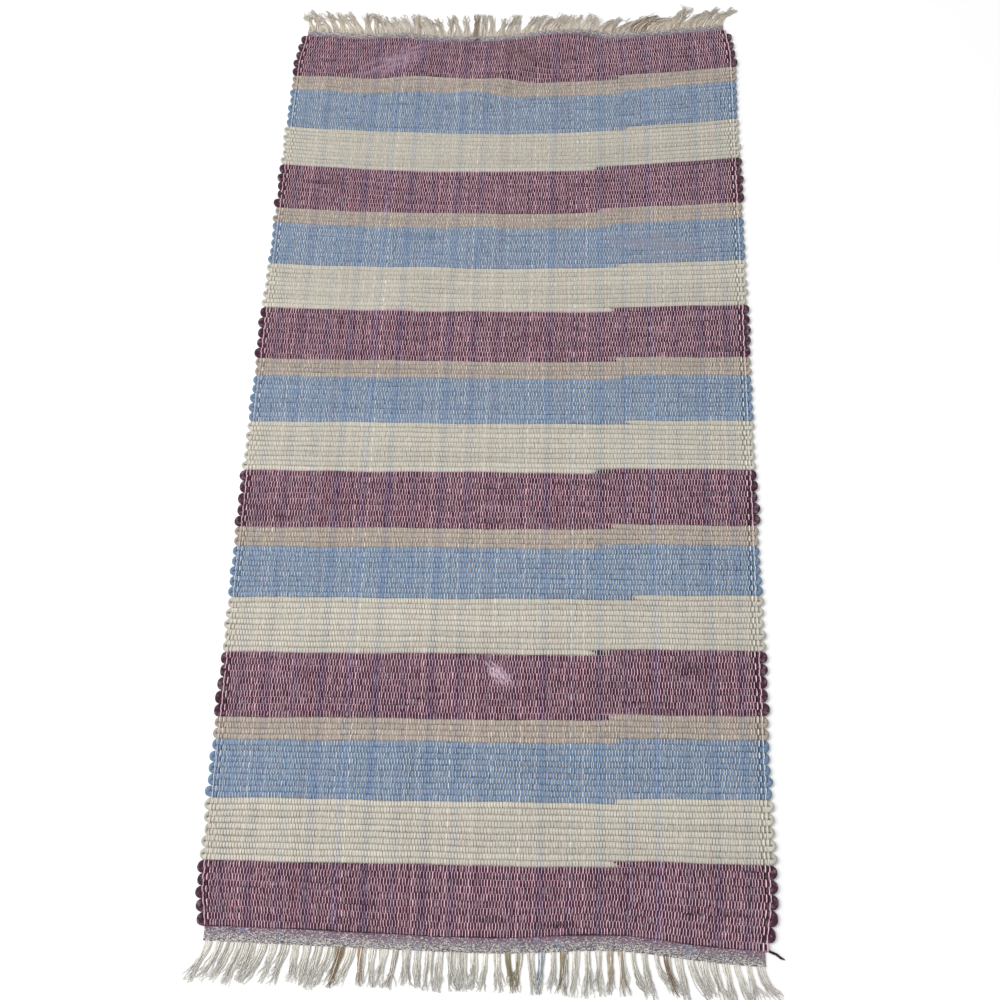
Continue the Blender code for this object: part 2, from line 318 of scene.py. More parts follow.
weft = {
    "halfHeight": 0.00205,
    "middle": 0.00225,  # of the rag over the floor
    "loopRise": 0.0002,
    "fill": 0.54,  # half width of a pick as a share of its height along the rug
    "pastWarp": 0.001,  # the straight run goes on past the outermost end by this much
    "loopHalf": {"burgundy": 0.0040, "tan": 0.0027, "blue": 0.0032, "cream": 0.0024},  # half width in loops
    "loopReach": {"burgundy": 0.0083, "tan": 0.0065, "blue": 0.0068, "cream": 0.0072},
    "loopBlunt": {"burgundy": 0.55, "tan": 0.8, "blue": 0.7, "cream": 0.8},  # 1 is round, less is square
    "loopHalfHeight": 0.0030,
    "loopUneven": 0.24,
    # painted shade: in the loops the rag's dye is this share of itself
    "loopShade": {"burgundy": 0.85, "tan": 0.80, "blue": 0.80, "cream": 0.74},
    "lumps": 0.05,  # of width and height, as a share
    "wander": 0.0002,
    "toneSpread": 0.05,
    "cutEndWidth": 0.65,  # a cut end is this narrow, and gains the next number at each station
    "cutEndGain": 0.2,
    "cutEndShade": 0.45,  # painted shade on the cut ends of burgundy, at its last two stations
    "stationGap": 0.0135,
    "foldStationGap": 0.0085,
    "foldedFrom": 0.50,  # stripes past this place get the closer stations
    "loopStations": 7,
    "joins": {"burgundy": 0.150, "tan": 0.165, "blue": 0.170, "cream": 0.188},  # where a rag starts
    "joinSpread": 0.022,
    "joinOverlap": 0.004,  # how far each of two rags goes past their join
    "seed": 5,
}
rags = {
    "burgundy": dye(70, 35, 54),
    "tan": dye(168, 157, 145),
    "blue": dye(112, 138, 166),
    "cream": dye(200, 197, 184),
}
weftLook = {
    "pressed": 0.88,  # share of painted shade, the deep colour, under and beside the warp
    "pressedFrom": (-0.5, 0.9),  # cosine of the place between ends where that starts and is whole
    "groove": 0.38,  # share of painted shade, the deep colour, in the grooves between picks
    "grooveFrom": (0.24, 0.50),  # picks from the middle line where that starts and is whole
    "deepen": 0.42,  # how far the deep colour goes on to black
    "streaks": 0.30,
    "paleBlotch": 0.25,
    "paleBlotchColour": dye(206, 196, 204),
}
ovalCorners = 8
ovalAngles = -2 * np.pi * (np.arange(ovalCorners) + 0.5) / ovalCorners
oval = np.stack([np.cos(ovalAngles), np.sin(ovalAngles)], axis=1)


# One stripe's rag as a path: straight runs along its picks, joined by half rounds outside the warp,
# x = edge + reach * sin(turn)^blunt, y = middle + half * cos(turn) for turn from 0 to 180 degrees
def ragPath(chance, rag, first, last, startX, endX, gap):
    direction = 1.0 if first % 2 else -1.0
    pieces = []
    for pick in range(first, last + 1):
        y = pickMid[pick]
        left, right = warpEdge(-1, y) - weft["pastWarp"], warpEdge(1, y) + weft["pastWarp"]
        begin = startX if pick == first and startX is not None else (left if direction > 0 else right)
        end = endX if pick == last and endX is not None else (right if direction > 0 else left)
        x = np.linspace(begin, end, max(int(abs(end - begin) / gap), 3) + 1)
        inLoop = np.zeros_like(x)
        pieces.append(np.stack([x, np.full_like(x, y), inLoop], axis=1))
        if pick < last:
            turn = np.linspace(0.0, np.pi, weft["loopStations"] + 2)[1:-1]
            middle, half = (y + pickMid[pick + 1]) / 2, (y - pickMid[pick + 1]) / 2
            uneven = 1 + weft["loopUneven"] * chance.normal()
            out = (weft["loopReach"][rag] - weft["loopHalf"][rag]) * uneven
            edge = right if direction > 0 else left
            bulge = np.sin(turn) ** weft["loopBlunt"][rag]
            loop = [edge + direction * out * bulge, middle + half * np.cos(turn), bulge]
            pieces.append(np.stack(loop, axis=1))
        direction = -direction
    return np.concatenate(pieces)


# Each rag is an oval carried along its path. Its width and height have slow lumps, change over to those of
# a loop outside the warp, and taper at the cut ends
def makeWeft():
    chance = np.random.default_rng(weft["seed"])
    points, quads, caps, shades, count = [], [], [], [], 0
    first = 0
    startX = None
    for number, (rag, picks, height) in enumerate(stripes):
        last = first + picks - 1
        nextRag = stripes[(number + 1) % len(stripes)][0]
        join = weft["joins"][nextRag] + weft["joinSpread"] * chance.uniform(-1, 1, 2)[0]
        endX = None if number == len(stripes) - 1 else join + weft["joinOverlap"]
        folded = clothLength / 2 - pickHeight[: last + 1].sum() > weft["foldedFrom"]
        gap = weft["foldStationGap"] if folded else weft["stationGap"]
        path = ragPath(chance, rag, max(first - 1, 0), last, startX, endX, gap)
        inLoop = path[:, 2].copy()
        stations = len(path)
        toEnd = np.minimum(np.arange(stations), np.arange(stations)[::-1])
        taper = np.minimum(weft["cutEndWidth"] + weft["cutEndGain"] * toEnd, 1.0)
        lumps = slowNoise(chance, (3, stations), 2)
        width = weft["fill"] * height * (1 + weft["lumps"] * lumps[0])
        width = (width + (weft["loopHalf"][rag] - width) * inLoop) * taper
        tall = weft["halfHeight"] * (1 + weft["lumps"] * lumps[1])
        tall = (tall + (weft["loopHalfHeight"] - tall) * inLoop) * taper
        path[:, 1] += weft["wander"] * lumps[2]
        path[:, 2] = np.maximum(weft["middle"] + weft["loopRise"] * inLoop, tall)
        swept = sweep(path[None], width[None], tall[None], oval)
        faces = sweptFaces(1, stations, ovalCorners)
        points.append(swept.reshape(-1, 3))
        quads.append(faces[0] + count)
        caps.append(faces[1] + count)
        count += stations * ovalCorners
        tone = 1 + weft["toneSpread"] * slowNoise(chance, (stations,), 12)[:, None]
        # Painted shade: the dye is darkened in the loops outside the warp by loopShade
        shade = np.array(rags[rag]) * tone * (1 - (1 - weft["loopShade"][rag]) * inLoop[:, None])
        # Painted shade at the cut ends of burgundy
        if rag == "burgundy":
            shade = shade * np.where(toEnd < 2, weft["cutEndShade"], 1.0)[:, None]
        inWarp = (inLoop == 0.0)[:, None]
        shades.append(np.repeat(np.concatenate([shade, inWarp], axis=1), ovalCorners, axis=0))
        first += picks
        startX = join - weft["joinOverlap"]
    points = np.concatenate(points)
    weave = np.stack([endPlace(points[:, 0], points[:, 1]), pickPlace(points[:, 1])], axis=1)
    blocks = [np.concatenate(quads), np.concatenate(caps)]
    colours = {"ragDye": np.concatenate(shades)}
    return makePiece("rag_weft", layDown(points), blocks, {"weave": weave}, colours, ragMaterial())


# Place along the rug counted in picks, and across it counted in warp ends
def pickPlace(y):
    edges = clothLength / 2 - np.concatenate([[0.0], np.cumsum(pickHeight)])
    return np.interp(-y, -edges, np.arange(pickCount + 1))


def endPlace(x, y):
    left, right = warpEdge(-1, y), warpEdge(1, y)
    return np.interp((x - left) / (right - left), endShare, np.arange(warp["ends"]))


# Matt cotton rag: its own dye with long streaks. The shade in the grooves between picks and under the warp
# is
# painted into the colour: light that goes from rag to rag there comes out as the dye times itself, so these
# painted shadows are deeper in colour and not just darker. The dye's fourth number is 1 within the warp and
# 0 in the loops, which have no such painted shadows
def ragMaterial():
    material, tree, shader = newMaterial("cotton_rag", 0.95, 0.08)
    place = addNode(tree, "ShaderNodeTexCoord").outputs["Object"]
    weave = addNode(tree, "ShaderNodeUVMap", uv_map="weave").outputs[0]
    split = addNode(tree, "ShaderNodeSeparateXYZ", {0: weave}).outputs
    dyed = addNode(tree, "ShaderNodeAttribute", attribute_name="ragDye").outputs
    own, inside = dyed["Color"], dyed["Alpha"]
    phase = maths(tree, "ADD", split[0], maths(tree, "FLOOR", split[1]))
    overPick = maths(tree, "COSINE", maths(tree, "MULTIPLY", phase, math.pi))  # 1 where an end goes over
    pressed = between(tree, overPick, *weftLook["pressedFrom"])
    offMiddle = maths(tree, "ABSOLUTE", maths(tree, "SUBTRACT", maths(tree, "FRACT", split[1]), 0.5))
    groove = between(tree, offMiddle, *weftLook["grooveFrom"])
    pressed = maths(tree, "MULTIPLY", pressed, inside)
    groove = maths(tree, "MULTIPLY", groove, inside)
    streaks = noise(tree, placed(tree, weave, (0.10, 4.0, 1.0)), 1.0, 3.0, 0.6)
    blotches = noise(tree, place, 160.0, 3.0, 0.6)
    deep = blendColours(tree, 1.0, own, own, "MULTIPLY")
    deep = blendColours(tree, weftLook["deepen"], deep, (0.0, 0.0, 0.0))
    # Pale blotches mixed over the dye where the noise is high
    paleBlotchShare = between(tree, blotches, 0.45, 0.75, 0.0, weftLook["paleBlotch"])
    colour = blendColours(tree, paleBlotchShare, own, weftLook["paleBlotchColour"])
    colour = blendColours(tree, between(tree, streaks, 0.40, 0.75, 0.0, weftLook["streaks"]), colour, deep)
    # Painted shade under and beside the warp and in the grooves between picks
    dark = maths(tree, "MAXIMUM", maths(tree, "MULTIPLY", pressed, weftLook["pressed"]),
                 maths(tree, "MULTIPLY", groove, weftLook["groove"]))
    colour = blendColours(tree, dark, colour, deep)
    colour = wornAndFoldShading(tree, colour, place)
    tree.links.new(colour, shader.inputs["Base Color"])
    fibres = noise(tree, placed(tree, place, (1.0, 1.6, 1.0)), 1500.0, 2.0, 0.6)
    sunk = maths(tree, "MULTIPLY", pressed, -1.0)
    relief = maths(tree, "ADD", sunk, maths(tree, "MULTIPLY", fibres, 0.35))
    relief = maths(tree, "ADD", relief, maths(tree, "MULTIPLY", streaks, 0.5))
    bump = addNode(tree, "ShaderNodeBump", {"Height": relief, "Distance": 0.0007, "Strength": 0.8})
    tree.links.new(bump.outputs[0], shader.inputs["Normal"])
    return material


warp = {
    "ends": 358,
    "groups": 4,
    "edgeGaps": (0.55, 2.1, 1.5),  # from the outermost end inwards, against the even gap
    "width": 0.00068,  # half width
    "thickness": 0.0010,
    "over": 0.00420,
    "under": 0.00045,
    "float": 0.27,  # half length of a float as a share of the pick
    "meander": 0.00022,
    "stepAcross": 0.00008,  # from point to point by chance
    "stepAlong": 0.0003,
    "pastField": 0.0015,  # an end goes on past the field into the heading
    "outerHeight": 0.0008,  # and lies at this height there
    "doubledShare": 0.08,  # ends that are two threads side by side
    "doubled": 1.45,
    "thickSpread": 0.10,
    "seed": 17,
}
gaps = np.ones(warp["ends"] - 1)
gaps[: len(warp["edgeGaps"])] = warp["edgeGaps"]
gaps[-len(warp["edgeGaps"]) :] = warp["edgeGaps"][::-1]
endShare = np.concatenate([[0.0], np.cumsum(gaps)]) / gaps.sum()
warpLook = {
    "natural": dye(220, 214, 207),
    "warm": dye(212, 198, 194),
    "warmShare": 0.25,
    "blue": dye(172, 186, 206),
    "lavender": dye(180, 172, 194),
    "lavenderShare": 0.35,  # of the ends in the bluish bands
    "bandRepeat": 18.65,  # ends from one bluish band to the next
    "bandHalf": 2.4,  # half width of a bluish band in ends
    "firstBand": 10.0,
    "bandStrength": (0.25, 0.95),
    "dyeSpread": 0.05,
    # painted shade where an end is sunk beneath a rag
    "sunkShade": 0.60,
    "fromRag": 0.26,  # how much of the hue beneath shows in the warp: painted light bounced from the rag, with the rag's fuzz
    "rubbedBounceAndShade": dye(150, 128, 132),
    "toneMap": (3.7, 500),  # step from end to end and scale along them for the slow change of tone
}


# One colour for each end: natural, with a soft bluish band of about five ends in every repeat, each band
# as strong as chance makes it: dye = natural + (blue - natural) * strength * ease(1.5 - off / bandHalf)
def warpDyes():
    chance = np.random.default_rng(warp["seed"])
    number = np.arange(warp["ends"])
    warm = chance.random(warp["ends"])[:, None] < warpLook["warmShare"]
    dyes = np.where(warm, np.array(warpLook["warm"]), np.array(warpLook["natural"]))
    turns = (number - warpLook["firstBand"]) / warpLook["bandRepeat"]
    band = np.rint(turns).astype(int)
    off = np.abs(turns - band) * warpLook["bandRepeat"]
    strength = chance.uniform(*warpLook["bandStrength"], band.max() + 1)[band]
    strength = strength * ease(1.5 - off / warpLook["bandHalf"])
    lavender = chance.random(warp["ends"])[:, None] < warpLook["lavenderShare"]
    cool = np.where(lavender, np.array(warpLook["lavender"]), np.array(warpLook["blue"]))
    dyes = dyes + (cool - dyes) * strength[:, None]
    return dyes * chance.normal(1.0, warpLook["dyeSpread"], (warp["ends"], 1))


# Places along the rug and heights of one end: two points on each float over a pick, one point under a pick
def warpLine(parity):
    over = (np.arange(pickCount) + parity) % 2 == 0
    offsets = np.array([warp["float"], 0.0, -warp["float"]])
    y = pickMid[:, None] + pickHeight[:, None] * offsets
    h = np.where(over, warp["over"], warp["under"])[:, None] + 0.0 * offsets
    keep = np.where(over[:, None], np.array([True, False, True]), np.array([False, True, False]))
    outer = clothLength / 2 + warp["pastField"]
    low = warp["outerHeight"]
    return np.concatenate([[outer], y[keep], [-outer]]), np.concatenate([[low], h[keep], [low]])


wedge = np.array([[-1.0, -0.35], [0.0, 0.65], [1.0, -0.35]])


# Dye of the rag in the pick at each place. Past the joins the last pick of a stripe is already the next rag
def ragAt(x, y):
    pickDye = np.concatenate([np.tile(rags[rag], (picks, 1)) for rag, picks, _ in stripes])
    pick = pickPlace(y).astype(int) + (x > np.mean(list(weft["joins"].values())))
    return pickDye[np.clip(pick, 0, pickCount - 1)]


# Every end is a strand of three sides, x = left + (right - left) * share + meander. Where it lies over a
# rag its dye takes on some of the rag's hue, painted light bounced from the rag together with its fuzz, and
# where it is sunk beneath one it takes on all of it and darkens with painted shade
def makeWarp():
    chance = np.random.default_rng(warp["seed"] + 1)
    dyes = warpDyes()
    lines = [warpLine(0), warpLine(1)]
    stations = len(lines[0][0])
    number = np.arange(warp["ends"])
    y = np.where((number % 2 == 0)[:, None], lines[0][0], lines[1][0])
    h = np.where((number % 2 == 0)[:, None], lines[0][1], lines[1][1])
    left, right = warpEdge(-1, y), warpEdge(1, y)
    x = left + (right - left) * endShare[:, None]
    x = x + warp["meander"] * slowNoise(chance, x.shape, 3)
    x = x + warp["stepAcross"] * chance.standard_normal(x.shape)
    y = y + warp["stepAlong"] * chance.standard_normal(y.shape)
    atEdge = np.minimum(number, warp["ends"] - 1 - number) < len(warp["edgeGaps"])
    doubled = (chance.random(warp["ends"]) < warp["doubledShare"]) | atEdge
    thick = chance.normal(1.0, warp["thickSpread"], x.shape)
    thick = thick * np.where(doubled, warp["doubled"], 1.0)[:, None]
    path = np.stack([x, y, h], axis=-1)
    toneStep, toneScale = warpLook["toneMap"]
    material = warpMaterial()
    pieces = []
    for group, ends in enumerate(np.array_split(number, warp["groups"])):
        width = warp["width"] * thick[ends]
        points = sweep(path[ends], width, np.full_like(width, warp["thickness"]), wedge)
        beneath = ragAt(x[ends], y[ends])
        # Painted light and shade: the hue of the rag beneath is bounced onto the warp, and sunk places are
        # darkened
        hue = beneath / beneath.mean(axis=-1, keepdims=True)
        sunk = (h[ends] < warp["over"] / 2)[..., None]
        rubbedBounceAndShade = dyes[ends][:, None, :] * hue ** np.where(sunk, 1.0, warpLook["fromRag"])
        rubbedBounceAndShade = rubbedBounceAndShade * np.where(sunk, warpLook["sunkShade"], 1.0)
        colours = {"warpDye": np.broadcast_to(rubbedBounceAndShade[:, :, None, :], points.shape)}
        along = np.broadcast_to(y[ends][:, :, None] * toneScale, points.shape[:3])
        strand = np.stack([np.broadcast_to(ends[:, None, None] * toneStep, along.shape), along], axis=-1)
        blocks = sweptFaces(len(ends), stations, len(wedge))
        name = f"warp_{group + 1}"
        pieces.append(makePiece(name, layDown(points), blocks, {"strand": strand}, colours, material))
    return pieces


# Matt cotton yarn with its own dye and a slow change of tone along each end
def warpMaterial():
    material, tree, shader = newMaterial("cotton_warp", 0.9, 0.06)
    place = addNode(tree, "ShaderNodeTexCoord").outputs["Object"]
    strand = addNode(tree, "ShaderNodeUVMap", uv_map="strand").outputs[0]
    own = addNode(tree, "ShaderNodeAttribute", attribute_name="warpDye").outputs["Color"]
    tones = noise(tree, placed(tree, strand, (1.0, 0.35, 1.0)), 1.0, 2.0, 0.6)
    colour = blendColours(tree, between(tree, tones, 0.35, 0.75, 0.0, 0.35), own, warpLook["rubbedBounceAndShade"])
    colour = wornAndFoldShading(tree, colour, place)
    tree.links.new(colour, shader.inputs["Base Color"])
    twist = noise(tree, placed(tree, place, (1.0, 0.5, 1.0), turn=0.6), 2600.0, 1.0)
    bump = addNode(tree, "ShaderNodeBump", {"Height": twist, "Distance": 0.0003, "Strength": 0.6})
    tree.links.new(bump.outputs[0], shader.inputs["Normal"])
    return material


heading = {
    "left": -0.3455,
    "right": 0.3510,
    "thickness": 0.0016,
    "height": {-1: 0.0175, 1: 0.0120},  # -1 is the near end and 1 the far end
    "columns": 348,
    "rowHeight": 0.0014,
    "relief": 0.00028,
    "uneven": 0.00012,  # of the top, and three times as much across
    "seed": 41,
}


# The line where the field ends: y = direction * length / 2 + stray + direction * inset
def wovenEnd(x, direction, inset):
    y = direction * clothLength / 2
    return y + stray(x, y) + direction * inset


# A thin closed band on a grid of crossings: h = thickness + relief * cos(pi (column + row)), over and under
def makeHeading(direction, material):
    side = "near" if direction < 0 else "far"
    rows = int(heading["height"][direction] / heading["rowHeight"]) + 1
    column, row = np.meshgrid(np.arange(heading["columns"] + 1), np.arange(rows + 1), indexing="ij")
    chance = np.random.default_rng(heading["seed"] + direction)
    x = heading["left"] + (heading["right"] - heading["left"]) * column / heading["columns"]
    x[1:-1] += heading["uneven"] * 3 * chance.standard_normal(x[1:-1].shape)
    inset = cloth["gap"] + heading["height"][direction] * row / rows
    y = wovenEnd(x, direction, inset)
    under = lift(x, y)
    top = under + heading["thickness"] + heading["relief"] * np.cos(np.pi * (column + row))
    top += heading["uneven"] * chance.standard_normal(top.shape)
    points = np.concatenate([np.stack([x, y, level], -1).reshape(-1, 3) for level in (top, under)])
    index = np.arange(x.size).reshape(x.shape)
    around = np.concatenate([index[:, 0], index[-1, 1:], index[-2::-1, -1], index[0, -2:0:-1]])
    topFaces = np.stack([index[:-1, :-1], index[1:, :-1], index[1:, 1:], index[:-1, 1:]], -1).reshape(-1, 4)
    wall = np.stack([around, around + x.size, np.roll(around, -1) + x.size, np.roll(around, -1)], -1)
    faces = np.concatenate([topFaces, topFaces[:, ::-1] + x.size, wall])
    faces = faces if direction > 0 else faces[:, ::-1]
    weave = np.stack([column, row], -1).reshape(-1, 2).astype(float)
    weave = np.concatenate([weave, weave])
    outwards = np.tile(row.ravel() / rows, 2)[:, None]
    colours = {"outwards": np.broadcast_to(outwards, points.shape)}
    return makePiece("heading_" + side + "_weave", points, [faces], {"weave": weave}, colours, material)


headingLook = {
    "mauve": dye(122, 100, 116),
    "grey": dye(134, 130, 134),
    "blue": dye(120, 134, 158),
    "pale": dye(222, 216, 206),
    "dark": dye(58, 46, 56),
    "cells": 1.6,  # flecks to a crossing, each way
    "often": (0.14, 0.38),  # share of the cells that are pale, by the field and by the fringe
    "darkOften": 0.8,  # as many of them are dark, times this
    "paleStrength": 0.62,
    "darkStrength": 0.75,
}


# Fine plain weave: each fleck is pale, dark or the ground colour by chance, more of them pale or dark
# towards the fringe. The ground goes from mauve by the field to grey, with blue patches
def headingMaterial():
    material, tree, shader = newMaterial("fine_heading", 0.95, 0.06)
    place = addNode(tree, "ShaderNodeTexCoord").outputs["Object"]
    weave = addNode(tree, "ShaderNodeUVMap", uv_map="weave").outputs[0]
    outwards = addNode(tree, "ShaderNodeAttribute", attribute_name="outwards").outputs["Fac"]
    fine = placed(tree, weave, (headingLook["cells"], headingLook["cells"], 1.0))
    cell = addNode(tree, "ShaderNodeVectorMath", {0: fine}, operation="FLOOR").outputs[0]
    flecks = addNode(tree, "ShaderNodeTexWhiteNoise", {"Vector": cell}, noise_dimensions="2D")
    drawn = flecks.outputs["Value"]
    patches = noise(tree, place, 55.0, 2.0)
    greyed = between(tree, outwards, 0.0, 0.8)
    ground = blendColours(tree, greyed, headingLook["mauve"], headingLook["grey"])
    ground = blendColours(tree, between(tree, patches, 0.55, 0.70, 0.0, 0.45), ground, headingLook["blue"])
    often = between(tree, outwards, 0.30, 1.0, *headingLook["often"])
    darkOften = maths(tree, "MULTIPLY", often, headingLook["darkOften"])
    pale = maths(tree, "LESS_THAN", drawn, often)
    dark = maths(tree, "GREATER_THAN", drawn, maths(tree, "SUBTRACT", 1.0, darkOften))
    paleShare = maths(tree, "MULTIPLY", pale, headingLook["paleStrength"])
    darkShare = maths(tree, "MULTIPLY", dark, headingLook["darkStrength"])
    colour = blendColours(tree, paleShare, ground, headingLook["pale"])
    colour = blendColours(tree, darkShare, colour, headingLook["dark"])
    tree.links.new(wornAndFoldShading(tree, colour, place), shader.inputs["Base Color"])
    fibres = noise(tree, place, 1800.0, 2.0)
    bump = addNode(tree, "ShaderNodeBump", {"Height": fibres, "Distance": 0.0004, "Strength": 0.7})
    tree.links.new(bump.outputs[0], shader.inputs["Normal"])
    return material


fringe = {
    "tassels": 50,
    "spine": 0.0022,  # width of the comb's back, from which its bunches start
    "rootLean": 0.6,  # share of its lean that a bunch has at its root
    "strandsPerEnd": 2,
    "radius": 0.00066,
    "radiusSpread": 0.10,
    "thinning": 0.55,  # a strand loses this share of its radius by its tip
    "stations": 13,
    "corners": 4,
    "outOfPlace": 0.12,  # strands stray from their even places in the bunch by this much
    "strayLean": 7.0,  # degrees, of single strands against their bunch
    "shortest": 0.35,  # a strand falls short of its bunch by up to this share
    "tucked": 0.0030,  # under the heading
    "tuckedUnder": 0.0011,  # highest that a root may lie there
    "pile": 0.0017,  # strands lie over each other up to this height
    "dyeSpread": 0.07,
    "darkShare": 0.22,  # strands that are darker by chance, and their shade
    "darkShade": 0.60,
    "tintShare": 0.55,  # strands of a tinted bunch that take the tint
    "tipShade": 0.28,  # painted shade: how much darker a strand is from seven tenths of its length on
    "toneMap": (2.3, 1000),  # step from strand to strand and scale along them for the slow change of tone
    "seed": 31,
}
fringes = {  # -1 is the near end and 1 the far end
    -1: {
        "reaches": ((-0.35, 0.7525), (-0.20, 0.7505), (0.0, 0.7470), (0.35, 0.7450)),  # x, y of the tips
        "leans": ((-0.35, -30), (-0.25, -18), (-0.12, -10), (0.0, 4), (0.15, 6), (0.25, 22), (0.35, 26)),
        "uneven": 0.14,  # a bunch is shorter by up to this share
        "scatter": 5.0,  # and leans by up to this many degrees more or less
        "seed": 11,
        "rootHalf": (0.0028, 0.0056),  # half width of a bunch where it leaves the heading
        "waist": (0.55, 1.05),  # and half way and at its tip, as shares of that
        "tip": (0.10, 1.30),
        "swing": 13.0,  # a bunch swings over to its tip by up to this many degrees
        "curl": 0.0022,
        "dye": dye(238, 234, 224),
    },
    1: {
        "reaches": ((-0.35, 0.7525), (-0.22, 0.748), (-0.05, 0.738), (0.15, 0.733), (0.3, 0.738),
                    (0.35, 0.75)),
        "leans": ((-0.35, -34), (-0.25, -20), (-0.12, -6), (0.0, 24), (0.15, 38), (0.25, 50), (0.35, 42)),
        "uneven": 0.30,
        "scatter": 5.0,
        "seed": 23,
        "rootHalf": (0.0056, 0.0076),
        "waist": (0.28, 0.65),
        "tip": (0.02, 0.35),
        "swing": 24.0,
        "curl": 0.0034,
        "dye": dye(222, 210, 192),
    },
}
yarnTints = {  # x, reach, colour of the bunches there
    -1: (
        (-0.172, 0.012, dye(150, 128, 100)),
        (-0.140, 0.006, dye(170, 140, 110)),
        (-0.095, 0.007, dye(172, 158, 150)),
        (0.045, 0.014, dye(150, 140, 108)),
        (0.083, 0.005, dye(150, 168, 190)),
        (0.105, 0.010, dye(138, 122, 96)),
        (0.170, 0.008, dye(176, 160, 132)),
        (0.232, 0.006, dye(142, 112, 84)),
    ),
    1: (
        (0.215, 0.012, dye(120, 92, 74)),
        (-0.060, 0.012, dye(150, 132, 110)),
    ),
}


# Reads a table of (place, value) rows in straight lines
def readTable(table, place):
    return float(np.interp(place, [row[0] for row in table], [row[1] for row in table]))


# Root, length and lean of every tassel in the comb, drawn in the same order as the solid's
def tassels(direction):
    facts = fringes[direction]
    chance = random.Random(facts["seed"])
    rows = []
    for i in range(fringe["tassels"]):
        x = heading["left"] + (heading["right"] - heading["left"]) * (i + 0.5) / fringe["tassels"]
        inset = heading["height"][direction] + 2 * cloth["gap"] + fringe["spine"]
        rootY = float(wovenEnd(x, direction, inset))
        lean = readTable(facts["leans"], x) + chance.uniform(-1, 1) * facts["scatter"]
        out = (readTable(facts["reaches"], x) - abs(rootY)) / math.cos(math.radians(lean))
        rows.append((x, rootY, out * (1.0 - chance.uniform(0.0, facts["uneven"])), math.radians(lean)))
    return np.array(rows)


# Each strand keeps its own place in its bunch: aside = place * half(share) + curl * wave, where half goes
# from the root by the waist to the tip, and x = rootX + down * sin(lean) + aside * cos(lean)
def makeFringe(direction, material):
    side = "near" if direction < 0 else "far"
    facts = fringes[direction]
    chance = np.random.default_rng(fringe["seed"] + direction)
    rows = tassels(direction)
    number = np.arange(warp["ends"] * fringe["strandsPerEnd"])
    start = (number + 0.5) / len(number)
    home = (start * fringe["tassels"]).astype(int)
    inBunch = (start * fringe["tassels"] - home) * 2 - 1
    inBunch = inBunch + chance.normal(0.0, fringe["outOfPlace"], len(number))
    rootX, rootY, length, lean = rows[home].T
    share = np.linspace(0.0, 1.0, fringe["stations"])
    waist = chance.uniform(*facts["waist"], fringe["tassels"])[home][:, None]
    tip = chance.uniform(*facts["tip"], fringe["tassels"])[home][:, None]
    half = 1.0 + (waist - 1.0) * ease(share / 0.45) + (tip - waist) * ease((share - 0.4) / 0.6)
    rootHalf = chance.uniform(*facts["rootHalf"], fringe["tassels"])[home][:, None]
    towards = np.where(chance.random(fringe["tassels"]) < 0.5, 1.0, -1.0)[home]
    bunchLean = np.radians(facts["swing"]) * towards * chance.uniform(-0.4, 1.0, fringe["tassels"])[home]
    strayLean = np.radians(fringe["strayLean"]) * chance.standard_normal(len(number))
    reach = length * (1.0 - fringe["shortest"] * chance.random(len(number)) ** 2.5)
    down = reach[:, None] * share
    angle = lean[:, None] * (fringe["rootLean"] + (1 - fringe["rootLean"]) * share)
    angle = angle + (bunchLean + 0.6 * strayLean)[:, None] * share
    curl = facts["curl"] * slowNoise(chance, (len(number), fringe["stations"]), 3) * share**1.5
    aside = inBunch[:, None] * rootHalf * half + curl
    x = rootX[:, None] + down * np.sin(angle) + aside * np.cos(angle)
    y = rootY[:, None] + direction * (down * np.cos(angle) - aside * np.sin(angle))
    y[:, 0] -= direction * fringe["tucked"]
    layer = chance.uniform(0.0, 1.0, len(number))[:, None] * fringe["pile"]
    crown = 1.0 - 0.6 * np.abs(inBunch[:, None]).clip(0, 1)
    h = fringe["radius"] + 0.0001 + layer * (1.0 - 0.35 * share) * crown
    h[:, 0] = np.minimum(h[:, 0], fringe["tuckedUnder"])
    path = np.stack([x, y, h + lift(x, y)], axis=-1)
    radius = fringe["radius"] * chance.normal(1.0, fringe["radiusSpread"], x.shape)
    radius = radius * (1.0 - fringe["thinning"] * share**3)
    angles = -2 * np.pi * (np.arange(fringe["corners"]) + 0.5) / fringe["corners"]
    ring = np.stack([np.cos(angles), np.sin(angles)], axis=1)
    points = sweep(path, radius, radius, ring)
    darker = chance.random(len(number)) < fringe["darkShare"]
    dyes = np.array(facts["dye"]) * np.where(darker, fringe["darkShade"], 1.0)[:, None]
    dyes = dyes * chance.normal(1.0, fringe["dyeSpread"], (len(number), 1))
    for tintX, tintReach, tint in yarnTints[direction]:
        tinted = chance.random(len(number)) < fringe["tintShare"]
        near = (np.abs(rootX - tintX) < tintReach) & tinted
        dyes[near] = np.array(tint) * chance.normal(1.0, 0.1, (near.sum(), 1))
    # Painted shade, darker towards the tips
    shade = 1.0 - fringe["tipShade"] * ease(share / 0.7)
    colours = {"yarnDye": dyes[:, None, None, :] * np.ones(points.shape[:3] + (1,)) * shade[:, None, None]}
    toneStep, toneScale = fringe["toneMap"]
    along = np.broadcast_to(down[:, :, None] * toneScale, points.shape[:3])
    strand = np.stack([np.broadcast_to(number[:, None, None] * toneStep, along.shape), along], axis=-1)
    blocks = sweptFaces(len(number), fringe["stations"], fringe["corners"])
    return makePiece("fringe_" + side + "_yarn", points, blocks, {"strand": strand}, colours, material)


